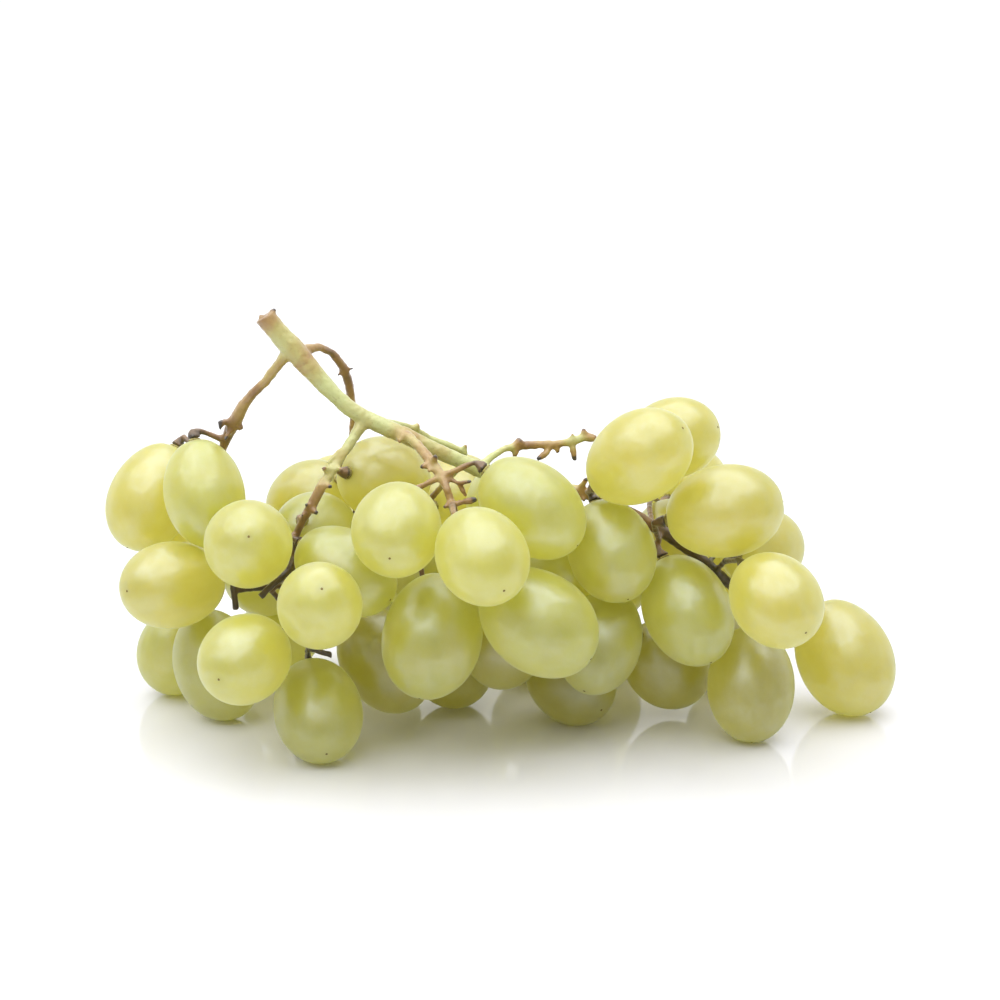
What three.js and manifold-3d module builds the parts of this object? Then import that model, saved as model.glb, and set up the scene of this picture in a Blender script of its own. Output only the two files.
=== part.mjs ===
// A bunch of white table grapes, lying on its side as it was cut.
// Millimetres, +Z up, the bunch lies along X with the cut end of its stalk up at the left.
// The berries are placed by hand, settled against each other and the table, and then the
// stalk grows a twig to every one of them.

import * as THREE from 'three';
import { mergeVertices } from 'three/addons/utils/BufferGeometryUtils.js';
import Module from 'manifold-3d';

const wasm = await Module();
wasm.setup();

// Berry sizes: width across, length from the stalk end to the tip.
const berrySizes = {
  small: [20, 24.5],
  slim: [20, 27.5],
  medium: [21.2, 26],
  long: [21.5, 29],
  broad: [22.5, 29],
  large: [24, 31],
};
const berrySegments = 10; // faces round a berry
const berryBands = 7; // bands from the stalk end to the tip
const fullness = 0.03; // how much fuller the tip half of a berry is than a plain ellipsoid

const skinGap = 0.3; // least space between two berries, and between a berry and the stalk
const neckLength = 3; // length of the straight neck that holds a berry
const neckWidth = 1.7;
const collarWidth = 4; // the flared seat where a neck meets its berry
const twigWidth = 2; // a twig where it leaves its branch
const budPlace = 0.7; // how far along a stub its widest place is
const budNeck = 0.75; // width of a stub where it starts, as a share of its widest
const budEnd = 0.6; // and where it ends
const ringSpacing = 5; // distance between the rings of a limb
const stemSides = 10;
const branchSides = 6;
const twigSides = 5;
const startsTried = 14; // starting points tried for each twig
const bandSpacing = 5; // distance between the points of a twig's line
const bandRounds = 40;
const bandReach = 18; // a berry with its centre further away than this doesn't push a twig
const pressCost = 15; // a twig squeezed by 1 mm is as bad as one this much longer
const collarStart = 1.2; // where a neck starts to flare, from the berry's stalk end
const sampleSpacing = 2.5; // between the points where a twig can leave a branch
const highestTwig = 80; // no twig leaves the bare top of the stalk

const settleRounds = 500;
const settlePace = 0.5; // share of a missing gap made up in one round
const farthestNeighbour = 34; // berries with centres further apart than this can't touch
const farthestPost = 20; // nor can a berry and a piece of branch this far apart
const sidewaysShare = 0.3; // berries give way front to back more than sideways or up
const packing = new THREE.Vector3(0, 0.97, -0.26).normalize();

// Each berry: size, centre and the direction of its tip. A centre with no height lies on the table.
const clusters = {
  left: [
    ['long', [-88.5, 14, 53.5], [-0.4, -0.4, -0.8]],
    ['slim', [-72.5, -3, 59.5], [0.2, -0.4, -0.9]],
    ['medium', [-59.5, -26, 52.5], [0.1, -0.9, 0.4]],
    ['long', [-80.5, -10, 37.5], [-0.7, -0.7, 0.1]],
    ['small', [-83, 12], [-0.2, 0.3, -0.9]],
    ['long', [-72, -1], [0.3, -0.2, -0.9]],
    ['medium', [-60.5, -40, 28], [-0.4, -0.9, -0.1]],
    ['small', [-42, -46, 43], [0.1, -0.8, 0.6]],
    ['long', [-44, -30.5], [0.2, -0.9, -0.5]],
  ],
  middle: [
    ['medium', [-48, 20, 50.5], [-0.6, 0.5, -0.6]],
    ['medium', [-45, -5, 47.5], [0.2, 0.8, -0.5]],
    ['slim', [-37, -26, 45], [0.8, -0.4, -0.4]],
    ['medium', [-30, 6, 60], [0.7, 0.7, -0.3]],
    ['medium', [-42.5, 42, 46.5], [-0.3, 0.9, 0]],
    ['medium', [-10, 33, 48.5], [0.5, 0.9, 0]],
    ['medium', [-23.5, -40, 60], [-0.1, -1, -0.3]],
    ['medium', [-4.5, -50, 56.5], [0.4, -0.8, -0.4]],
    ['long', [8, -28, 62], [0.8, -0.3, -0.6]],
    ['large', [-17, -31, 31.5], [-0.2, -0.4, -0.9]],
    ['long', [-28, -10, 18], [0.5, 0, -0.8]],
    ['medium', [-13, 3], [0.4, 0.5, -0.8]],
    ['medium', [0.5, -14, 25], [0.1, 0, -1]],
    ['large', [9.5, -38, 36.5], [0.8, -0.3, -0.5]],
    ['medium', [15, -6, 39.5], [0.2, 0.7, -0.6]],
    ['slim', [25.5, -22, 27.5], [-0.3, -0.6, -0.7]],
    ['medium', [18, -5], [0.6, -0.7, -0.4]],
    ['medium', [27.5, -20, 49], [0.3, -0.5, -0.8]],
    ['medium', [2.5, 12, 52.5], [0.2, 1, 0.1]],
  ],
  right: [
    ['long', [33.5, -23, 72], [0.7, -0.4, 0.6]],
    ['small', [43.5, 4, 71.5], [0.9, -0.3, 0.3]],
    ['small', [49.5, 24, 51.5], [0.5, 0.9, 0.1]],
    ['broad', [55, -20, 58.5], [1, -0.1, 0.2]],
    ['small', [66, 1, 43.5], [0.6, 0.8, -0.1]],
    ['medium', [66, -36, 42], [0.5, -0.8, -0.4]],
    ['long', [45.5, -20, 34], [0.4, -0.5, -0.8]],
    ['medium', [42.5, -2, 14], [0.6, 0.4, -0.7]],
    ['long', [62.5, -17.5], [0, -0.4, -0.9]],
    ['large', [88, 2], [0.4, -0.4, -0.8]],
    ['small', [43.5, 6, 47], [0.2, 0.9, -0.5]],
    ['small', [61, 20, 35], [0.3, 0.8, -0.5]],
  ],
  back: [
    ['medium', [-62, 22, 30], [-0.4, 0.9, -0.1]],
    ['medium', [-58, 32], [-0.3, 0.8, -0.5]],
    ['medium', [-40, 16, 28], [-0.2, 0.9, -0.4]],
    ['medium', [-32, 38, 26], [-0.1, 0.9, -0.3]],
    ['small', [-34, 24], [0, 0.7, -0.7]],
    ['medium', [-20, 12, 36], [0.1, 0.9, -0.4]],
    ['medium', [-8, 32, 25], [0.1, 0.9, -0.4]],
    ['medium', [8, 34, 38], [0.3, 0.9, -0.2]],
    ['small', [8, 26], [0.1, 0.6, -0.8]],
    ['medium', [28, 20, 30], [0.1, 0.9, -0.4]],
    ['small', [28, 34], [0.2, 0.8, -0.6]],
    ['medium', [28, 40, 32], [0.1, 1, 0]],
    ['medium', [43, 36, 30], [0.4, 0.9, -0.2]],
    ['medium', [60, 22], [0.4, 0.7, -0.6]],
    ['medium', [-76, 26, 32], [-0.5, 0.8, -0.3]],
  ],
};

// Each limb of the stalk: its centre line as [x, y, z, width there].
const limbs = {
  stem: [
    [-57, -6, 104.5, 5.4], [-56, -6, 103, 4.6], [-53, -6, 99.5, 5.4], [-49.5, -6, 95.5, 6],
    [-43, -7, 88, 4.4], [-36, -8, 81.5, 4], [-30, -8, 78, 4.4], [-24, -8, 75.5, 4.4],
    [-17, -8, 72, 3.9], [-10, -7, 68.5, 3.9], [-4, -6, 65.5, 4.1], [3, -7, 63, 3.6],
    [11, -7, 62, 3.4], [22, -7, 60, 3.2], [34, -6, 54, 3.2], [46, -5, 46, 3],
    [55, -6, 39, 2.8], [62, -5, 32, 2.4], [69, -3, 27, 2],
  ],
  shoulder: [
    [-51, -6, 96, 3.6], [-53, -6, 93.5, 2.7], [-58, -5, 87, 2.6], [-62, -3, 83, 2.7],
    [-64.5, -1, 78.5, 3.8], [-66, 1, 75.5, 3.6], [-69, 4, 69, 2.4], [-70, 9, 58, 2.2],
    [-68, 6, 47, 2.2], [-67, 0, 38, 2.2], [-66, -4, 29, 2],
  ],
  arch: [
    [-48, -5, 95.5, 3.2], [-44.5, -2, 96, 2.3], [-41, 2, 93.5, 2.2], [-38, 5, 88, 2.8],
    [-37, 7, 82, 2.3], [-36.5, 9, 76, 2.2], [-37, 11, 70, 2.2], [-39, 12, 64, 2], [-38, 20, 60, 2],
  ],
  front: [
    [-33, -8, 78.5, 3.6], [-37, -12, 73, 2.6], [-40, -16, 69, 2.7], [-43, -19, 65, 2.9],
    [-46, -19, 59, 2.6], [-49, -17.5, 54, 2], [-50, -16, 49, 2.2], [-50, -17, 45, 1.9],
    [-54, -22, 42, 2], [-58, -24, 38.5, 1.9],
  ],
  low: [
    [-50, -17, 45, 1.9], [-49, -21, 37, 1.8], [-47, -25, 30, 1.8], [-45, -27, 25.5, 1.9],
    [-40.5, -28, 25, 1.7],
  ],
  core: [
    [-25, -8, 75.5, 3.6], [-21, -12, 75, 2.6], [-17.5, -17, 72, 2.7], [-15.5, -20, 70.5, 3.4],
    [-13.5, -23, 68, 2.2], [-12, -26, 65, 2.2], [-10, -26, 58, 2.2], [-7, -24, 48, 2],
    [-6, -22, 40, 2], [-10, -18, 30, 1.8],
  ],
  back: [
    [-32, -6, 79, 2.6], [-27, -1, 76.5, 1.9], [-22, 3, 74.5, 2.2], [-18, 5, 71.5, 1.9],
    [-12.5, 6, 69, 2.2], [-8, 7, 66.5, 1.8], [-14, 10, 58, 1.8], [-19, 16, 50, 1.8],
    [-20, 24, 39, 1.8], [-19, 26, 30, 1.8],
  ],
  spur: [
    [-5, -6, 66, 2.8], [-2, -4, 68.5, 2], [1, -2, 70, 1.9], [5, 0, 70.5, 2.6],
    [11, 1, 70.5, 2.1], [17, 1, 71, 2], [21.5, 2, 72, 2.8], [22.5, 2, 72.5, 2.4],
  ],
};

// Stubs and dried buds of lost berries: where they leave the stalk, where they end, and their width.
const stubs = [
  [[-57, -6, 104], [-58.4, -6.4, 104.4], 1.8], [[-56, -6, 104.5], [-54.2, -6, 106.2], 1.7],
  [[-65.5, 0.4, 76.4], [-69.4, -1.5, 76.8], 2.2], [[-68.4, -1, 76.7], [-69.2, -1.5, 74.9], 1.5],
  [[-65.8, 0.8, 75.8], [-63.6, -0.5, 75], 2.4], [[-66.2, 1.2, 75.1], [-67.9, -2, 72.3], 1.7],
  [[-38.3, 4.7, 88.6], [-36, 4, 89.3], 1.1], [[-38.2, 4.8, 88.4], [-40.2, 4, 87.4], 1.1],
  [[-37.2, -12.3, 72.7], [-39.4, -14.5, 72.6], 1.5], [[-39, -14.2, 72.5], [-41.7, -16.5, 70.2], 1.5],
  [[-40.5, -16.5, 68.3], [-42.6, -19, 69.5], 2.3], [[-39.9, -15.8, 69.2], [-37.8, -18.5, 68.9], 1.6],
  [[-42.5, -18.5, 65.7], [-40.4, -20.7, 65.2], 2],
  [[-45.7, -19, 59.5], [-44, -21.2, 58.9], 2.1], [[-45.7, -19, 59.5], [-46.8, -21.2, 61.1], 1.8],
  [[-46, -19, 59.1], [-48, -20.2, 57.8], 1.7],
  [[-24.2, -8.8, 75.4], [-24.2, -12, 74.3], 1.9],
  [[-20.6, 3.7, 73.5], [-20.3, 3, 75.4], 2.4], [[-9, 6.8, 67], [-8.3, 6.4, 69.3], 1.8],
  [[-16.2, -18.9, 71], [-18.8, -21.2, 70.2], 2.2], [[-16.1, -19.2, 70.9], [-16.9, -22.2, 69.4], 1.6],
  [[-15.9, -19.5, 70.8], [-15.1, -21.5, 73.4], 2.2],
  [[-14.2, -21.9, 68.9], [-9.1, -24, 66.8], 1.6], [[-9.6, -23.8, 67], [-7.7, -25, 63.9], 1.7],
  [[-9.9, -24, 67.1], [-6.4, -26, 68.1], 1.5],
  [[-11.2, -26, 62.3], [-7.7, -28, 63.7], 1.8], [[-8.2, -27.7, 63.5], [-5.1, -29, 64.4], 2.4],
  [[-11.4, -26, 62.8], [-13.1, -28.2, 62.1], 1.7],
  [[4.9, -0.1, 70.5], [5.1, -0.6, 72.4], 3], [[4.5, -0.3, 70.4], [3.9, -1.1, 67.7], 2.4],
  [[13.9, 1, 70.7], [12.1, 0, 68.6], 1.3], [[12.5, 0.2, 69], [9.5, -1, 67.2], 2.2],
  [[14.1, 1, 70.8], [14.8, 0.5, 68.4], 2],
  [[18, 1.2, 71.2], [18.4, 1, 73.3], 1.5], [[18.3, 1.3, 71.3], [18.9, 0, 66.6], 2.1],
  [[21.3, 1.9, 71.9], [21.2, 2, 74.5], 2.4], [[21.6, 2, 72], [24.4, 2, 72], 2.6],
  [[19.4, -7, 60.5], [21.8, -9, 64.4], 2.1], [[20.3, -7, 60.3], [23, -9, 61.4], 2.1],
  [[20.3, -7, 60.3], [21.2, -9.2, 58.5], 1.7],
];

const up = new THREE.Vector3(0, 1, 0);
const down = new THREE.Vector3(0, 0, -1);

// An egg-like body of revolution: half its width, half its length, and its axis.
function body(centre, axis, halfWidth, halfLength) {
  return { centre, axis, halfWidth, halfLength };
}

// How far a body reaches from its centre in a direction.
function reach(item, direction) {
  const along = direction.dot(item.axis);
  const across = 1 - along * along;
  return Math.sqrt(item.halfWidth ** 2 * across + item.halfLength ** 2 * along * along);
}

// The direction in which two bodies are furthest apart, and that distance, negative if they overlap.
function spaceBetween(first, second) {
  const offset = second.centre.clone().sub(first.centre);
  const apart = offset.length();
  const direction = offset.clone().divideScalar(apart);
  const pull = new THREE.Vector3();
  for (let step = 0; step < 4; step += 1) {
    pull.copy(offset);
    for (const item of [first, second]) {
      const size = reach(item, direction);
      const along = direction.dot(item.axis);
      pull.addScaledVector(direction, -(item.halfWidth ** 2) / size);
      pull.addScaledVector(item.axis, -((item.halfLength ** 2 - item.halfWidth ** 2) * along) / size);
    }
    pull.addScaledVector(direction, -pull.dot(direction));
    direction.addScaledVector(pull, 1 / apart).normalize();
  }
  const space = offset.dot(direction) - reach(first, direction) - reach(second, direction);
  return { direction, space };
}

// How far a point is outside a body's skin, near enough for steering.
function clearance(item, point) {
  const offset = point.clone().sub(item.centre);
  const along = offset.dot(item.axis);
  const side = offset.clone().addScaledVector(item.axis, -along);
  const scaled = Math.hypot(along / item.halfLength, side.length() / item.halfWidth);
  const slope = side.divideScalar(item.halfWidth ** 2);
  slope.addScaledVector(item.axis, along / item.halfLength ** 2);
  const steepness = Math.max(slope.length(), 1e-6);
  return { space: ((scaled - 1) * scaled) / steepness, away: slope.divideScalar(steepness) };
}

function makeBerries() {
  const berries = [];
  for (const [cluster, rows] of Object.entries(clusters)) {
    rows.forEach(([sizeName, place, tip], index) => {
      const [width, length] = berrySizes[sizeName];
      const axis = new THREE.Vector3(...tip).normalize();
      const centre = new THREE.Vector3(place[0], place[1], place[2] ?? 0);
      const skin = body(centre, axis, width / 2, length / 2);
      const neck = body(new THREE.Vector3(), axis, collarWidth / 2, collarWidth / 2);
      const resting = place.length === 2;
      berries.push({ name: `${cluster}_berry_${index + 1}`, skin, neck, resting });
    });
  }
  return berries;
}

// The stalk end of a berry, or a point further out along its neck.
function stalkEnd(berry, beyond = 0) {
  return berry.skin.centre.clone().addScaledVector(berry.skin.axis, -(berry.skin.halfLength + beyond));
}

// Moves a berry out of something in its way, mostly along the packing direction.
function giveWay(berry, direction, distance) {
  const along = direction.dot(packing);
  const move = packing.clone().multiplyScalar(along * (1 - sidewaysShare));
  move.addScaledVector(direction, sidewaysShare);
  berry.skin.centre.addScaledVector(move, distance / move.dot(direction));
}

function settle(berries, obstacles) {
  const posts = obstacles.map(([centre, radius]) => body(centre, up, radius, radius));
  for (let round = 0; round < settleRounds; round += 1) {
    for (const berry of berries) {
      const height = reach(berry.skin, down);
      const { centre } = berry.skin;
      centre.z = berry.resting ? height : Math.max(centre.z, height);
      berry.neck.centre.copy(stalkEnd(berry, neckLength / 2));
    }
    berries.forEach((berry, index) => {
      for (const other of berries.slice(index + 1)) {
        if (berry.skin.centre.distanceTo(other.skin.centre) > farthestNeighbour) continue;
        const pairs = [[berry.skin, other.skin], [berry.neck, other.skin], [berry.skin, other.neck]];
        for (const [mine, theirs] of pairs) {
          const { direction, space } = spaceBetween(mine, theirs);
          const missing = ((skinGap - space) / 2) * settlePace;
          if (missing > 0) {
            giveWay(berry, direction, -missing);
            giveWay(other, direction, missing);
          }
        }
      }
      for (const post of posts) {
        if (berry.skin.centre.distanceTo(post.centre) > farthestPost) continue;
        const { direction, space } = spaceBetween(post, berry.skin);
        const missing = (skinGap - space) * settlePace;
        if (missing > 0) giveWay(berry, direction, missing);
      }
    });
  }
}

function centreLine(points) {
  const places = points.map(([x, y, z]) => new THREE.Vector3(x, y, z));
  return new THREE.CatmullRomCurve3(places, false, 'centripetal');
}

// A closed round limb along a line of [x, y, z, width] points.
function limb(points, sides) {
  const line = centreLine(points);
  const rings = Math.max(2, Math.round(line.getLength() / ringSpacing), points.length - 1);
  const frames = line.computeFrenetFrames(rings);
  const geometry = new THREE.CylinderGeometry(1, 1, 1, sides, rings);
  const { position } = geometry.attributes;
  const vertex = new THREE.Vector3();
  for (let index = 0; index < position.count; index += 1) {
    vertex.fromBufferAttribute(position, index);
    const ring = Math.round((vertex.y + 0.5) * rings);
    const share = line.getUtoTmapping(ring / rings) * (points.length - 1);
    const before = Math.min(Math.floor(share), points.length - 2);
    const width = THREE.MathUtils.lerp(points[before][3], points[before + 1][3], share - before);
    const place = line.getPointAt(ring / rings);
    place.addScaledVector(frames.normals[ring], (vertex.x * width) / 2);
    place.addScaledVector(frames.binormals[ring], (-vertex.z * width) / 2);
    position.setXYZ(index, place.x, place.y, place.z);
  }
  return geometry;
}

// A stub with a swollen, dried end, like the bud it once was.
function stubLimb([from, to, width]) {
  const start = new THREE.Vector3(...from);
  const end = new THREE.Vector3(...to);
  const bud = start.clone().lerp(end, budPlace);
  return limb([[...start, width * budNeck], [...bud, width], [...end, width * budEnd]], twigSides);
}

// An elastic line from a branch to a berry's neck, pushed out of the berries in its way.
function route(from, berry, skins) {
  const neckStart = stalkEnd(berry, neckLength);
  const count = Math.max(3, Math.round(from.distanceTo(neckStart) / bandSpacing));
  const line = [];
  for (let index = 0; index <= count; index += 1) line.push(from.clone().lerp(neckStart, index / count));
  const needed = twigWidth / 2 + skinGap;
  for (let round = 0; round < bandRounds; round += 1) {
    for (let index = 1; index < count; index += 1) {
      line[index].lerp(line[index - 1].clone().lerp(line[index + 1], 0.5), 0.5);
      for (const skin of skins) {
        if (line[index].distanceTo(skin.centre) > bandReach) continue;
        const { space, away } = clearance(skin, line[index]);
        if (space < needed) line[index].addScaledVector(away, needed - space);
      }
    }
  }
  let length = 0;
  let tightest = needed;
  for (let index = 1; index <= count; index += 1) {
    length += line[index].distanceTo(line[index - 1]);
    const middle = line[index].clone().lerp(line[index - 1], 0.5);
    for (const point of [line[index], middle]) {
      for (const skin of skins) tightest = Math.min(tightest, clearance(skin, point).space);
    }
  }
  return { line, cost: length + pressCost * (needed - tightest) };
}

// One twig for each berry, from the branch or earlier twig that it reaches most easily.
function growTwigs(berries, branchPoints) {
  const skins = berries.map((berry) => berry.skin);
  const distances = new Map();
  for (const berry of berries) {
    const end = stalkEnd(berry, neckLength);
    distances.set(berry, Math.min(...branchPoints.map((point) => point.distanceTo(end))));
  }
  const order = [...berries].sort((one, two) => distances.get(one) - distances.get(two));
  const twigs = [];
  for (const berry of order) {
    const end = stalkEnd(berry, neckLength);
    const byDistance = [...branchPoints].sort((one, two) => one.distanceTo(end) - two.distanceTo(end));
    const choices = byDistance.slice(0, startsTried);
    const tries = choices.map((from) => route(from, berry, skins));
    const best = tries.reduce((one, two) => (two.cost < one.cost ? two : one));
    const path = best.line.map((point) => [...point, neckWidth]);
    path[0][3] = twigWidth;
    path.push([...stalkEnd(berry, collarStart), neckWidth], [...stalkEnd(berry, skinGap), collarWidth]);
    twigs.push(path);
    branchPoints.push(...best.line.slice(1, -1));
  }
  return twigs;
}

// Manifold solids and three.js geometry, there and back.
function toSolid(geometry) {
  const bare = geometry.clone();
  bare.deleteAttribute('normal');
  bare.deleteAttribute('uv');
  const merged = mergeVertices(bare, 1e-4);
  const mesh = new wasm.Mesh({
    numProp: 3,
    vertProperties: new Float32Array(merged.attributes.position.array),
    triVerts: new Uint32Array(merged.index.array),
  });
  return new wasm.Manifold(mesh);
}

function toGeometry(solid) {
  const mesh = solid.getMesh();
  const geometry = new THREE.BufferGeometry();
  geometry.setAttribute('position', new THREE.BufferAttribute(mesh.vertProperties, 3));
  geometry.setIndex(new THREE.BufferAttribute(mesh.triVerts, 1));
  geometry.computeVertexNormals();
  return geometry;
}

function berryGeometry() {
  const geometry = new THREE.SphereGeometry(1, berrySegments, berryBands);
  const { position } = geometry.attributes;
  for (let index = 0; index < position.count; index += 1) {
    const swell = 1 + fullness * position.getY(index);
    position.setX(index, position.getX(index) * swell);
    position.setZ(index, position.getZ(index) * swell);
  }
  geometry.computeVertexNormals();
  return geometry;
}

function placeBerry(mesh, berry, extra = 0) {
  const { centre, axis, halfWidth, halfLength } = berry.skin;
  mesh.position.copy(centre);
  mesh.quaternion.setFromUnitVectors(up, axis);
  mesh.scale.set(halfWidth + extra, halfLength + extra, halfWidth + extra);
  mesh.updateMatrixWorld(true);
  return mesh;
}

// The stalk is one grown piece, shaved where a berry presses on it.
function stalkGeometry(twigs, berries, shape) {
  const solids = [];
  for (const [name, points] of Object.entries(limbs)) {
    solids.push(toSolid(limb(points, name === 'stem' ? stemSides : branchSides)));
  }
  for (const stub of stubs) solids.push(toSolid(stubLimb(stub)));
  for (const twig of twigs) solids.push(toSolid(limb(twig, twigSides)));
  let stalk = solids.reduce((whole, solid) => whole.add(solid));
  for (const berry of berries) {
    const pressed = placeBerry(new THREE.Mesh(shape), berry, skinGap / 2);
    stalk = stalk.subtract(toSolid(shape.clone().applyMatrix4(pressed.matrixWorld)));
  }
  const pieces = stalk.decompose();
  return toGeometry(pieces.reduce((one, two) => (two.volume() > one.volume() ? two : one)));
}

function branchSamples(spacing) {
  const samples = [];
  for (const points of Object.values(limbs)) {
    const line = centreLine(points);
    const count = Math.round(line.getLength() / spacing);
    const radius = Math.max(...points.slice(-4).map((point) => point[3])) / 2;
    for (const place of line.getSpacedPoints(count)) samples.push([place, radius]);
  }
  return samples;
}

const ripeness = [0xc9cb6e, 0xc3c76a, 0xd2cb6c, 0xbcc065];

const berries = makeBerries();
const samples = branchSamples(sampleSpacing);
settle(berries, samples);
const branchPoints = samples.map(([place]) => place).filter((place) => place.z < highestTwig);
const twigs = growTwigs(berries, branchPoints);
const shape = berryGeometry();

const bunch = new THREE.Group();
bunch.name = 'bunch';
const woody = new THREE.MeshStandardMaterial({ color: 0xa9a866, roughness: 0.6, metalness: 0 });
const stalk = new THREE.Mesh(stalkGeometry(twigs, berries, shape), woody);
stalk.name = 'stalk';
bunch.add(stalk);
berries.forEach((berry, index) => {
  const color = ripeness[index % ripeness.length];
  const skin = new THREE.MeshStandardMaterial({ color, roughness: 0.3, metalness: 0 });
  const mesh = placeBerry(new THREE.Mesh(shape, skin), berry);
  mesh.name = berry.name;
  bunch.add(mesh);
});

// The origin is under the middle of the bunch, on the table.
const box = new THREE.Box3().setFromObject(bunch, true);
const middle = box.getCenter(new THREE.Vector3());
bunch.position.set(-middle.x, -middle.y, -box.min.z);
bunch.updateMatrixWorld(true);

export default bunch;
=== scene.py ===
# A bunch of white table grapes lying on a pale glossy table.
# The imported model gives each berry's place and size; the skins and the stalk are remade here in full detail.

import itertools
import math

import bmesh
import bpy
from mathutils import Matrix, Vector, noise
from mathutils.bvhtree import BVHTree
from mathutils.kdtree import KDTree


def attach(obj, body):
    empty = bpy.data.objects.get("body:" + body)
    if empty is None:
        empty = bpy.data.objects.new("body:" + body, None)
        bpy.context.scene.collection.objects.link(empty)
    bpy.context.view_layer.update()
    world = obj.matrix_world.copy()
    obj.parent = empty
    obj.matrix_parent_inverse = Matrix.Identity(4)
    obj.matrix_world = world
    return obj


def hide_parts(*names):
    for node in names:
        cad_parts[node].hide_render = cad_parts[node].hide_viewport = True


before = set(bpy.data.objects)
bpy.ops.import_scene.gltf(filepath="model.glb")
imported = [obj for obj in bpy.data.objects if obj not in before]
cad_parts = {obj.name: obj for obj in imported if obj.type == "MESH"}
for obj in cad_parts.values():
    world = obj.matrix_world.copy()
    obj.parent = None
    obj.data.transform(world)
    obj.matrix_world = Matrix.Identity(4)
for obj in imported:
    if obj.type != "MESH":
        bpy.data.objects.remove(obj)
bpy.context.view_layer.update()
mm = 0.001
scene = bpy.context.scene
print("frame loaded:", len(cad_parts), "nodes")


def hexColour(text):
    # sRGB hex to the linear values that Blender's sockets hold
    parts = [int(text[i:i + 2], 16) / 255 for i in (1, 3, 5)]
    return [p / 12.92 if p <= 0.04045 else ((p + 0.055) / 1.055) ** 2.4 for p in parts] + [1.0]


def addNode(tree, kind, settings=None, inputs=None, stops=None):
    # one node; an input is a plain value, a hex colour, or another node's output to link
    node = tree.nodes.new(kind)
    for key, value in (settings or {}).items():
        setattr(node, key, value)
    for key, value in (inputs or {}).items():
        if isinstance(value, bpy.types.NodeSocket):
            tree.links.new(value, node.inputs[key])
        elif isinstance(value, str):
            node.inputs[key].default_value = hexColour(value)
        else:
            node.inputs[key].default_value = value
    if stops:
        band = node.color_ramp.elements
        while len(band) < len(stops):
            band.new(0.5)
        for element, (place, colour) in zip(band, stops):
            element.position = place
            element.color = hexColour(colour)
    return node


def startMaterial(name):
    made = bpy.data.materials.new(name)
    made.use_nodes = True
    made.node_tree.nodes.clear()
    return made, made.node_tree


# ---- berries

berry = {
    "around": 56,  # faces round a berry
    "bands": 40,  # bands from the stalk end to the tip
    "fullness": 0.03,  # the tip half is a little fuller
    "lump": 0.012,  # uneven growth, as a share of the radius
    "lumpSize": 1.1,  # lumps along one radius
    "dimpleDepth": 0.5,  # mm, where the neck of the stalk sits
    "dimpleRadius": 3.2,  # mm
    "tipDepth": 0.18,  # mm, the flat at the flower scar
    "tipRadius": 1.6,  # mm
    "scarRadius": 0.3,  # mm
    "scarHeight": 0.14,
    "scarSpeckle": 0.25,  # mm, size of the cork's speckles
    "brushRadius": 1.7,  # mm, the pale flesh that grips the neck
    "brushHeight": 0.75,
    "brushSink": 0.15,  # mm, how far it sits in the dimple
    "brushSpeckle": 10 / 9,
    "neckMark": 0.55,  # how brown the skin is at the neck, and how wide that stain is in mm
    "neckMarkRadius": 2.6,
    "tipMark": 0.4,
    "tipMarkRadius": 0.8,
    "buttonAround": 14,
    "buttonBands": 8,
    "spin": 2.4,  # radians from one berry to the next
    "cadWidestRing": math.sin(3 * math.pi / 7),  # of the seven-banded CAD berry
}

# real skins run from lime to gold; each row is the flesh, the deeper patches and the sunny blush
skinTones = {
    "lime": ("#c3c735", "#b1b525", "#cec534"),
    # the green row is partly the berries' own greener tone and partly painted shade on the low berries under
    # the bunch
    "green": ("#bbbd30", "#a5a723", "#c5bb32"),
    # the deep olive row is a darker copy of the skin: painted shade for the low berries that sit in the
    # bunch's shadow
    "shadeOlive": ("#a9a01a", "#978e13", "#b19f20"),
    "pale": ("#cac83e", "#b9b72c", "#d0c53e"),
    "gold": ("#d0c240", "#c0b62e", "#d5c43c"),
    "amber": ("#d2c43c", "#c2b22e", "#d7bf36"),
}

skin = {
    "patchSize": 9,  # mm, patches of deeper flesh; the sizes, spacings and depths below are in mm too
    "blushSize": 14,
    "veinSpacing": 2.4,
    "veinLength": 20,
    "veinShare": 0.16,
    "bloomSize": 5,
    "bloomShare": 0.16,
    "poreSpacing": 2.5,
    "poreShare": 0.25,
    "dentSize": 5,
    "dentDepth": 0.35,
    "grainSize": 0.6,
    "grainDepth": 0.12,
    "lightReach": 10,  # mm that red light spreads in the flesh
    "glowShare": 0.68,  # how much of the skin's shading is light from its far side
    "sheen": 0.3,
    "glossRoughness": 0.4,
    "glossRubbed": 0.1,  # the wax's mirror share where it is rubbed thin, seen straight on
    "glossDusty": 0.16,
    "glossRim": 0.55,  # and at the berry's edge
    "rimBlend": 0.3,
}


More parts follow.
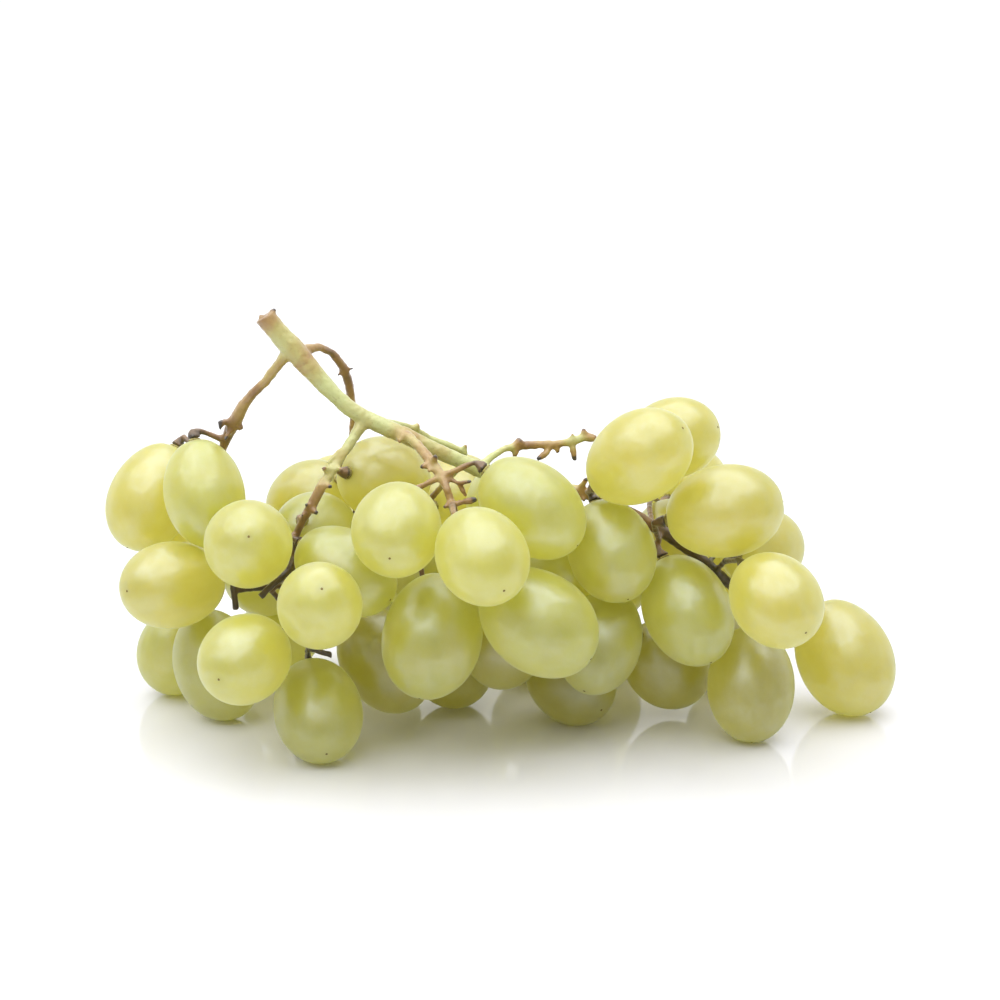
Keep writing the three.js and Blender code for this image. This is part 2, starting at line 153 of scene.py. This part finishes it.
def makeSkin(name, flesh, deep, blush):
    # grape skin: thin, waxy and translucent, so light spreads in the flesh and the edges glow
    made, tree = startMaterial(name)
    place = addNode(tree, "ShaderNodeAttribute", {"attribute_name": "skinPlace"}).outputs["Vector"]
    patches = addNode(tree, "ShaderNodeTexNoise", inputs={
        "Vector": place, "Scale": 1 / skin["patchSize"], "Detail": 2.0, "Roughness": 0.5})
    sunny = addNode(tree, "ShaderNodeTexNoise", {"noise_dimensions": "4D"}, {
        "Vector": place, "W": 7.0, "Scale": 1 / skin["blushSize"], "Detail": 1.0})
    # the flesh's veins run from the stalk end to the tip
    across = 1 / skin["veinSpacing"]
    along = 1 / skin["veinLength"]
    stretched = addNode(tree, "ShaderNodeMapping", inputs={"Vector": place, "Scale": (across, across, along)})
    strands = addNode(tree, "ShaderNodeTexNoise", inputs={
        "Vector": stretched.outputs[0], "Scale": 1.0, "Detail": 3.0, "Roughness": 0.6})
    dust = addNode(tree, "ShaderNodeTexNoise", inputs={
        "Vector": place, "Scale": 1 / skin["bloomSize"], "Detail": 6.0, "Roughness": 0.65})
    dots = addNode(tree, "ShaderNodeTexVoronoi", {"feature": "F1"}, {
        "Vector": place, "Scale": 1 / skin["poreSpacing"], "Randomness": 1.0})
    marks = addNode(tree, "ShaderNodeAttribute", {"attribute_name": "mark"})

    # each layer is a mask, the mask values where it starts and is full, its greatest share and its colour
    layers = [
        (patches.outputs["Fac"], 0.4, 0.72, 1, deep),
        (sunny.outputs["Fac"], 0.5, 0.8, 1, blush),
        (strands.outputs["Fac"], 0.52, 0.75, skin["veinShare"], "#e8e5b0"),
        (dust.outputs["Fac"], 0.42, 0.75, skin["bloomShare"], "#e9e8cf"),
        (dots.outputs["Distance"], 0.085, 0.05, skin["poreShare"], "#a08a45"),
        (marks.outputs["Fac"], 0, 1, 1, "#8d7c38"),
    ]
    colour = flesh
    for mask, start, full, most, tint in layers:
        share = addNode(tree, "ShaderNodeMapRange", inputs={
            "Value": mask, "From Min": start, "From Max": full, "To Max": most})
        mixed = addNode(tree, "ShaderNodeMix", {"data_type": "RGBA"}, {
            0: share.outputs["Result"], 6: colour, 7: tint})
        colour = mixed.outputs[2]

    grain = addNode(tree, "ShaderNodeTexNoise", inputs={
        "Vector": place, "Scale": 1 / skin["grainSize"], "Detail": 3.0})
    dents = addNode(tree, "ShaderNodeTexNoise", inputs={
        "Vector": place, "Scale": 1 / skin["dentSize"], "Detail": 1.0})
    uneven = addNode(tree, "ShaderNodeBump", inputs={
        "Height": dents.outputs["Fac"], "Strength": 1.0, "Distance": skin["dentDepth"] * mm})
    bump = addNode(tree, "ShaderNodeBump", inputs={
        "Height": grain.outputs["Fac"], "Strength": 0.12, "Distance": skin["grainDepth"] * mm,
        "Normal": uneven.outputs["Normal"]})
    pulp = addNode(tree, "ShaderNodeBsdfPrincipled", {"subsurface_method": "RANDOM_WALK"}, {
        "Base Color": colour,
        "Roughness": 0.4,
        "Subsurface Weight": 1.0,
        "Subsurface Radius": (1.0, 0.85, 0.3),
        "Subsurface Scale": skin["lightReach"] * mm,
        "Subsurface Anisotropy": 0.6,
        "Specular IOR Level": 0.0,
        "Sheen Weight": skin["sheen"],
        "Sheen Roughness": 0.6,
        "Normal": bump.outputs["Normal"],
    })
    # light that comes through the berry from its far side
    glow = addNode(tree, "ShaderNodeBsdfTranslucent", inputs={"Color": "#f6f096"})
    lit = addNode(tree, "ShaderNodeMixShader", inputs={
        0: skin["glowShare"], 1: pulp.outputs[0], 2: glow.outputs[0]})
    # the waxy cuticle's soft gloss, broken where the bloom is thick
    gloss = addNode(tree, "ShaderNodeBsdfAnisotropic", inputs={
        "Color": "#f0faff", "Roughness": skin["glossRoughness"], "Normal": bump.outputs["Normal"]})
    rim = addNode(tree, "ShaderNodeLayerWeight", inputs={"Blend": skin["rimBlend"]})
    facing = addNode(tree, "ShaderNodeMapRange", inputs={
        "Value": dust.outputs["Fac"], "From Min": 0.35, "From Max": 0.65,
        "To Min": skin["glossRubbed"], "To Max": skin["glossDusty"]})
    glossShare = addNode(tree, "ShaderNodeMapRange", inputs={
        "Value": rim.outputs["Fresnel"], "To Min": facing.outputs["Result"], "To Max": skin["glossRim"]})
    waxy = addNode(tree, "ShaderNodeMixShader", inputs={
        0: glossShare.outputs["Result"], 1: lit.outputs[0], 2: gloss.outputs[0]})
    addNode(tree, "ShaderNodeOutputMaterial", inputs={"Surface": waxy.outputs[0]})
    return made


def makeScar():
    # dry cork where the flower was: matt and brown
    made, tree = startMaterial("scarCork")
    place = addNode(tree, "ShaderNodeTexCoord").outputs["Object"]
    speckle = addNode(tree, "ShaderNodeTexNoise", inputs={
        "Vector": place, "Scale": 1 / (berry["scarSpeckle"] * mm), "Detail": 3.0})
    cork = addNode(tree, "ShaderNodeValToRGB", inputs={"Fac": speckle.outputs["Fac"]}, stops=[
        (0.3, "#6b5a2c"), (0.7, "#92803f")])
    shader = addNode(tree, "ShaderNodeBsdfPrincipled", inputs={
        "Base Color": cork.outputs["Color"], "Roughness": 0.8})
    addNode(tree, "ShaderNodeOutputMaterial", inputs={"Surface": shader.outputs[0]})
    return made


def makeBrush():
    # the grip of pale green flesh round the neck, drying brown
    made, tree = startMaterial("neckFlesh")
    place = addNode(tree, "ShaderNodeTexCoord").outputs["Object"]
    speckle = addNode(tree, "ShaderNodeTexNoise", inputs={
        "Vector": place, "Scale": 1 / (berry["brushSpeckle"] * mm), "Detail": 4.0})
    dried = addNode(tree, "ShaderNodeValToRGB", inputs={"Fac": speckle.outputs["Fac"]}, stops=[
        (0.35, "#6b5a2c"), (0.6, "#a39a55")])
    shader = addNode(tree, "ShaderNodeBsdfPrincipled", inputs={
        "Base Color": dried.outputs["Color"], "Roughness": 0.6})
    addNode(tree, "ShaderNodeOutputMaterial", inputs={"Surface": shader.outputs[0]})
    return made


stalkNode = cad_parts["stalk"]
stalkTree = BVHTree.FromObject(stalkNode, bpy.context.evaluated_depsgraph_get())
stemEnds = []


def readBerry(node):
    # the poles of the CAD berry are its two points furthest apart
    points = list({tuple(round(c, 7) for c in v.co) for v in node.data.vertices})
    ends = [Vector(p) for p in max(itertools.combinations(points, 2), key=lambda pair: math.dist(*pair))]
    ends.sort(key=lambda end: stalkTree.find_nearest(end)[3])
    stem, tip = ends
    centre = (stem + tip) / 2
    axis = (tip - stem).normalized()
    offsets = [Vector(p) - centre for p in points]
    ring = max((o - axis * o.dot(axis)).length for o in offsets)
    stemEnds.append(stem)
    width = 2 * ring / berry["cadWidestRing"]
    return {"centre": centre, "axis": axis, "length": (tip - stem).length, "width": width}


def shapeBerry(mesh, size, seed):
    # a unit ball along Z becomes one berry in its own frame, in metres, tip upwards
    halfLength = size["length"] / 2
    halfWidth = size["width"] / 2
    marks = mesh.verts.layers.float["mark"]
    places = mesh.verts.layers.float_vector["skinPlace"]
    shift = Vector((seed * 31.0, seed * 17.0, seed * 53.0))
    for vert in mesh.verts:
        unit = vert.co.normalized()
        swell = 1 + berry["fullness"] * unit.z
        lump = 1 + berry["lump"] * noise.noise(unit * berry["lumpSize"] + shift)
        place = Vector((unit.x * halfWidth * swell, unit.y * halfWidth * swell, unit.z * halfLength)) * lump
        fromAxis = math.hypot(place.x, place.y) / mm
        if unit.z < 0:
            place.z += berry["dimpleDepth"] * mm * math.exp(-((fromAxis / berry["dimpleRadius"]) ** 2) * 2)
            vert[marks] = berry["neckMark"] * math.exp(-((fromAxis / berry["neckMarkRadius"]) ** 2))
        else:
            place.z -= berry["tipDepth"] * mm * math.exp(-((fromAxis / berry["tipRadius"]) ** 2) * 2)
            vert[marks] = berry["tipMark"] * math.exp(-((fromAxis / berry["tipMarkRadius"]) ** 2))
        vert.co = place
        vert[places] = place / mm + shift


def addButton(mesh, centre, radius, height, materialIndex):
    # a small flattened ball set into the skin
    made = bmesh.ops.create_uvsphere(
        mesh, u_segments=berry["buttonAround"], v_segments=berry["buttonBands"], radius=1.0)
    bmesh.ops.scale(mesh, vec=(radius * mm, radius * mm, height * mm), verts=made["verts"])
    bmesh.ops.translate(mesh, vec=centre, verts=made["verts"])
    for face in {f for v in made["verts"] for f in v.link_faces}:
        face.material_index = materialIndex


def makeBerry(name, node, materials, seed):
    size = readBerry(node)
    mesh = bmesh.new()
    mesh.verts.layers.float.new("mark")
    mesh.verts.layers.float_vector.new("skinPlace")
    bmesh.ops.create_uvsphere(mesh, u_segments=berry["around"], v_segments=berry["bands"], radius=1.0)
    shapeBerry(mesh, size, seed)
    tipHeight = size["length"] / 2 - berry["tipDepth"] * mm
    stemHeight = -size["length"] / 2 + berry["dimpleDepth"] * mm
    addButton(mesh, (0, 0, tipHeight), berry["scarRadius"], berry["scarHeight"], 1)
    sunk = stemHeight - berry["brushSink"] * mm
    addButton(mesh, (0, 0, sunk), berry["brushRadius"], berry["brushHeight"], 2)
    turn = size["axis"].to_track_quat("Z", "Y").to_matrix().to_4x4()
    spin = Matrix.Rotation(seed * berry["spin"], 4, "Z")
    bmesh.ops.transform(mesh, matrix=Matrix.Translation(size["centre"]) @ turn @ spin, verts=mesh.verts)
    for vert in mesh.verts:
        vert.co.z = max(vert.co.z, 0)  # a resting berry flattens where it touches the table
    bmesh.ops.recalc_face_normals(mesh, faces=mesh.faces)
    for face in mesh.faces:
        face.smooth = True
    data = bpy.data.meshes.new(name)
    mesh.to_mesh(data)
    mesh.free()
    for material in materials:
        data.materials.append(material)
    piece = bpy.data.objects.new(name, data)
    scene.collection.objects.link(piece)
    return piece


# which skin each berry has: the sunny right end is golden; the low berries in the bunch's shadow get the
# darker green and deep olive skins, which paint their shade into the colour
toneOf = {
    "left": ["gold", "lime", "pale", "gold", "lime", "green", "pale", "pale", "green"],
    "middle": ["gold", "lime", "lime", "amber", "gold", "amber", "pale", "pale", "lime", "lime",
               "shadeOlive", "shadeOlive", "shadeOlive", "lime", "lime", "green", "shadeOlive", "lime", "lime"],
    "right": ["gold", "gold", "gold", "gold", "gold", "gold", "lime", "shadeOlive", "shadeOlive", "amber",
              "amber", "gold"],
    "back": ["lime", "green", "gold", "lime", "shadeOlive", "lime", "pale", "gold", "shadeOlive", "lime",
             "shadeOlive", "gold", "lime", "shadeOlive", "gold"],
}

skins = {tone: makeSkin(tone + "GrapeSkin", *colours) for tone, colours in skinTones.items()}
scar = makeScar()
brush = makeBrush()
berryCount = 0
for cluster, tones in toneOf.items():
    for index, tone in enumerate(tones, start=1):
        nodeName = f"{cluster}_berry_{index}"
        berryCount += 1
        materials = [skins[tone], scar, brush]
        piece = makeBerry(f"{cluster}_grape_{index}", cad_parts[nodeName], materials, berryCount)
        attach(piece, "root")
        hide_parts(nodeName)
print("berries made:", berryCount)

# ---- stalk

stalk = {
    "voxel": 0.38,  # mm
    "smoothRounds": 4,
    "ridge": 0.13,  # mm, fine shrivelling, and below it the uneven girth
    "swell": 0.13,
    "ridgesPerMetre": 900,
    "swellsPerMetre": 260,
    "neckBrown": 0.95,  # how brown a neck is where it meets its berry
    "endBrown": 0.6,  # what a loose end adds
    "wanderSize": 1000 / 180,  # mm, patches that dried unevenly
    "fleckSize": 1000 / 1500,
    "barkSize": 1000 / 1800,
    "barkDepth": 0.2,
    "neckBrownReach": 14,  # mm over which a dry neck fades to its branch
    "endSample": 4,  # every fourth point is enough to find the loose ends
    "endReach": 2.5,  # mm, a loose end has few points this near, and they all lie to one side
    "endPoints": 240,
    "endLean": 0.75,  # mm from a point to the middle of the points near it
}


def makeStalk():
    copy = bmesh.new()
    copy.from_mesh(stalkNode.data)
    bmesh.ops.remove_doubles(copy, verts=copy.verts, dist=0.00001)
    data = bpy.data.meshes.new("stalkDetail")
    copy.to_mesh(data)
    copy.free()
    piece = bpy.data.objects.new("grape_stalk", data)
    scene.collection.objects.link(piece)
    remesh = piece.modifiers.new("remesh", "REMESH")
    remesh.mode = "VOXEL"
    remesh.voxel_size = stalk["voxel"] * mm
    remesh.adaptivity = 0
    evaluated = piece.evaluated_get(bpy.context.evaluated_depsgraph_get())
    detail = bpy.data.meshes.new_from_object(evaluated)
    piece.modifiers.clear()
    piece.data = detail
    bpy.data.meshes.remove(data)

    mesh = bmesh.new()
    mesh.from_mesh(detail)
    for _ in range(stalk["smoothRounds"]):
        bmesh.ops.smooth_vert(
            mesh, verts=mesh.verts, factor=0.5, use_axis_x=True, use_axis_y=True, use_axis_z=True)
    mesh.normal_update()
    browning = mesh.verts.layers.float.new("browning")
    verts = list(mesh.verts)
    for vert, brown in zip(verts, browningOf(verts)):
        vert[browning] = brown
    moved = {}
    for vert in verts:
        fine = noise.noise(vert.co * stalk["ridgesPerMetre"])
        coarse = noise.noise(vert.co * stalk["swellsPerMetre"])
        moved[vert] = vert.co + vert.normal * mm * (stalk["ridge"] * fine + stalk["swell"] * coarse)
    for vert, place in moved.items():
        vert.co = place
    for face in mesh.faces:
        face.smooth = True
    mesh.to_mesh(detail)
    mesh.free()
    return piece


# how dry and brown the stalk is at places along its branches, in mm, from 0 (green) to 1
dryness = [
    ((-57, -4, 105), 0.6), ((-53, -4, 99), 0.1), ((-50, -4, 95.5), 0.25), ((-43, -5, 88), 0.0),
    ((-36, -6, 81.5), 0.0), ((-30, -6, 78), 0.05), ((-17, -6, 72), 0.12), ((-4, -4, 65), 0.0),
    ((11, -5, 62), 0.1), ((34, -4, 54), 0.7), ((55, -4, 39), 0.95), ((69, -1, 27), 0.95),
    ((-53, -4, 92), 0.45), ((-60, -2, 85), 0.55), ((-65, 1, 78), 0.6), ((-67, 3, 75), 0.6),
    ((-70, 11, 58), 0.75), ((-67, 2, 38), 0.9), ((-46, -1, 96), 0.55), ((-41, 4, 93.5), 0.6),
    ((-38, 7, 88), 0.65), ((-36.5, 11, 76), 0.5), ((-39, 14, 64), 0.7), ((-35, -8, 76), 0.1),
    ((-40, -14, 69), 0.15), ((-43, -17, 65), 0.35), ((-46, -17, 59), 0.7), ((-50, -14, 49), 0.85),
    ((-58, -22, 38), 0.95), ((-22, -9, 75), 0.35), ((-15.5, -18, 70.5), 0.5), ((-12, -24, 65), 0.6),
    ((-7, -22, 48), 0.7), ((-10, -16, 30), 0.85), ((-27, 1, 76.5), 0.0), ((-18, 7, 71.5), 0.0),
    ((-8, 9, 66.5), 0.1), ((-19, 18, 50), 0.7), ((-19, 28, 30), 0.85), ((-2, -2, 68.5), 0.0),
    ((2, 0, 70), 0.1), ((5, 2, 70.5), 0.75), ((9, 3, 70.5), 0.35), ((14, 3, 70.5), 0.45),
    ((17, 3, 71), 0.1), ((20, 3.5, 71.5), 0.05), ((22.5, 4, 72.5), 0.35), ((18.5, 3, 67), 0.9),
    ((23.5, 4, 74), 0.8),
]


def browningOf(verts):
    # dry places spread along the branches, necks go brown near their berries, and loose ends brownest
    spots = KDTree(len(dryness))
    for index, (place, _) in enumerate(dryness):
        spots.insert(Vector(place) * mm, index)
    spots.balance()
    necks = KDTree(len(stemEnds))
    for index, place in enumerate(stemEnds):
        necks.insert(place, index)
    necks.balance()
    sample = verts[::stalk["endSample"]]
    around = KDTree(len(sample))
    for index, vert in enumerate(sample):
        around.insert(vert.co, index)
    around.balance()
    brown = []
    for vert in verts:
        found = spots.find_n(vert.co, 3)
        near = [(dryness[index][1], 1 / (distance / mm + 0.5) ** 2) for _, index, distance in found]
        value = sum(dry * weight for dry, weight in near) / sum(weight for _, weight in near)
        neckDistance = necks.find(vert.co)[2] / mm
        value = max(value, stalk["neckBrown"] - neckDistance / stalk["neckBrownReach"])
        close = [place for place, _, _ in around.find_range(vert.co, stalk["endReach"] * mm)]
        few = 1 - len(close) * stalk["endSample"] / stalk["endPoints"]
        lean = (vert.co - sum(close, Vector()) / len(close)).length / mm - stalk["endLean"]
        value += stalk["endBrown"] * min(max(few * 3, 0), 1) * min(max(lean * 4, 0), 1)
        brown.append(min(value, 1))
    return brown


def makeStalkSkin():
    # green herbaceous bark that dries through tan to near black: ribbed, matt, slightly waxy while green
    made, tree = startMaterial("stalkBark")
    place = addNode(tree, "ShaderNodeTexCoord").outputs["Object"]
    browning = addNode(tree, "ShaderNodeAttribute", {"attribute_name": "browning"}).outputs["Fac"]
    wander = addNode(tree, "ShaderNodeTexNoise", inputs={
        "Vector": place, "Scale": 1 / (stalk["wanderSize"] * mm), "Detail": 4.0})
    spread = addNode(tree, "ShaderNodeMapRange", inputs={
        "Value": wander.outputs["Fac"], "From Min": 0.3, "From Max": 0.7, "To Min": -0.15, "To Max": 0.15})
    dry = addNode(tree, "ShaderNodeMath", {"operation": "ADD", "use_clamp": True}, {
        0: browning, 1: spread.outputs["Result"]})
    drying = addNode(tree, "ShaderNodeValToRGB", inputs={"Fac": dry.outputs[0]}, stops=[
        (0.0, "#babe7c"), (0.25, "#b1a55e"), (0.45, "#a38244"), (0.65, "#845f2a"), (0.85, "#4a3414"),
        (1.0, "#2b1d0c")])
    flecks = addNode(tree, "ShaderNodeTexNoise", inputs={
        "Vector": place, "Scale": 1 / (stalk["fleckSize"] * mm), "Detail": 2.0})
    fleckShare = addNode(tree, "ShaderNodeMapRange", inputs={
        "Value": flecks.outputs["Fac"], "From Min": 0.6, "From Max": 0.75, "To Max": 0.35})
    colour = addNode(tree, "ShaderNodeMix", {"data_type": "RGBA"}, {
        0: fleckShare.outputs["Result"], 6: drying.outputs["Color"], 7: "#7d6a38"})
    bark = addNode(tree, "ShaderNodeTexNoise", inputs={
        "Vector": place, "Scale": 1 / (stalk["barkSize"] * mm), "Detail": 5.0})
    bump = addNode(tree, "ShaderNodeBump", inputs={
        "Height": bark.outputs["Fac"], "Strength": 0.5, "Distance": stalk["barkDepth"] * mm})
    shader = addNode(tree, "ShaderNodeBsdfPrincipled", inputs={
        "Base Color": colour.outputs[2],
        "Roughness": 0.5,
        "Coat Weight": 0.7,
        "Coat Roughness": 0.36,
        "Coat IOR": 1.6,
        "Subsurface Weight": 0.1,
        "Subsurface Radius": (1.0, 0.9, 0.4),
        "Subsurface Scale": 1 * mm,
        "Sheen Weight": 0.25,
        "Normal": bump.outputs["Normal"],
    })
    addNode(tree, "ShaderNodeOutputMaterial", inputs={"Surface": shader.outputs[0]})
    return made


stalkPiece = makeStalk()
stalkPiece.data.materials.clear()
stalkPiece.data.materials.append(makeStalkSkin())
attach(stalkPiece, "root")
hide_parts("stalk")
print("stalk made:", len(stalkPiece.data.vertices), "points")

# ---- table, light and camera

studio = {
    "floorSize": 9.0,  # m
    "floorColour": "#e2e2e8",
    "floorRoughness": 0.09,
    "floorIor": 1.42,
    "frontLow": 0.5,  # the room on the camera's side, near the table's height
    "frontHigh": 0.62,
    "backLow": 1.3,  # the white wall behind the bunch
    "backHigh": 0.75,
    "aim": (0, 0.002, 0.0565),  # m
    "elevation": 15,  # degrees
    "distance": 0.6944,  # m
    "lens": 100,  # mm
    "sensor": 36,  # mm
    "floorDrop": 0.00005,  # m, keeps the table just clear of the lowest berry
}

lights = {
    "window": {"place": (-0.12, -0.12, 0.95), "wide": 1.6, "tall": 1.9, "watts": 21.5},
}


def makeFloor():
    # white acrylic sheet: a soft gloss that mirrors what stands on it at a low angle
    mesh = bmesh.new()
    bmesh.ops.create_grid(mesh, x_segments=1, y_segments=1, size=studio["floorSize"] / 2)
    bmesh.ops.translate(mesh, vec=(0, 0, -studio["floorDrop"]), verts=mesh.verts)
    data = bpy.data.meshes.new("table")
    mesh.to_mesh(data)
    mesh.free()
    made, tree = startMaterial("whiteAcrylic")
    shader = addNode(tree, "ShaderNodeBsdfPrincipled", inputs={
        "Base Color": studio["floorColour"],
        "Roughness": studio["floorRoughness"],
        "IOR": studio["floorIor"],
    })
    addNode(tree, "ShaderNodeOutputMaterial", inputs={"Surface": shader.outputs[0]})
    data.materials.append(made)
    table = bpy.data.objects.new("table", data)
    scene.collection.objects.link(table)


def makeLights():
    world = bpy.data.worlds.new("studio")
    world.use_nodes = True
    tree = world.node_tree
    background = tree.nodes["Background"]
    background.inputs["Color"].default_value = (1, 1, 1, 1)
    heading = addNode(tree, "ShaderNodeTexCoord").outputs["Generated"]
    parts = addNode(tree, "ShaderNodeSeparateXYZ", inputs={"Vector": heading}).outputs
    front = addNode(tree, "ShaderNodeMapRange", {"interpolation_type": "SMOOTHSTEP"}, {
        "Value": parts["Z"], "From Min": 0.05, "From Max": 0.5,
        "To Min": studio["frontLow"], "To Max": studio["frontHigh"]})
    back = addNode(tree, "ShaderNodeMapRange", {"interpolation_type": "SMOOTHSTEP"}, {
        "Value": parts["Z"], "From Min": 0.3, "From Max": 0.7,
        "To Min": studio["backLow"], "To Max": studio["backHigh"]})
    strength = addNode(tree, "ShaderNodeMapRange", {"interpolation_type": "SMOOTHSTEP"}, {
        "Value": parts["Y"], "From Min": -0.3, "From Max": 0.4,
        "To Min": front.outputs["Result"], "To Max": back.outputs["Result"]})
    tree.links.new(strength.outputs["Result"], background.inputs["Strength"])
    scene.world = world
    aim = Vector(studio["aim"])
    for name, row in lights.items():
        lamp = bpy.data.lights.new(name, "AREA")
        lamp.shape = "RECTANGLE"
        lamp.size = row["wide"]
        lamp.size_y = row["tall"]
        lamp.energy = row["watts"]
        holder = bpy.data.objects.new(name, lamp)
        holder.location = row["place"]
        holder.rotation_euler = (aim - holder.location).to_track_quat("-Z", "Y").to_euler()
        scene.collection.objects.link(holder)


def makeCamera():
    lens = bpy.data.cameras.new("camera")
    lens.lens = studio["lens"]
    lens.sensor_width = studio["sensor"]
    lens.clip_end = 50
    holder = bpy.data.objects.new("camera", lens)
    tilt = math.radians(studio["elevation"])
    aim = Vector(studio["aim"])
    holder.location = aim + Vector((0, -math.cos(tilt), math.sin(tilt))) * studio["distance"]
    holder.rotation_euler = (math.radians(90) - tilt, 0, 0)
    scene.collection.objects.link(holder)
    scene.camera = holder


makeFloor()
makeLights()
makeCamera()
scene.view_settings.view_transform = "Standard"
print("table, lights and camera made")
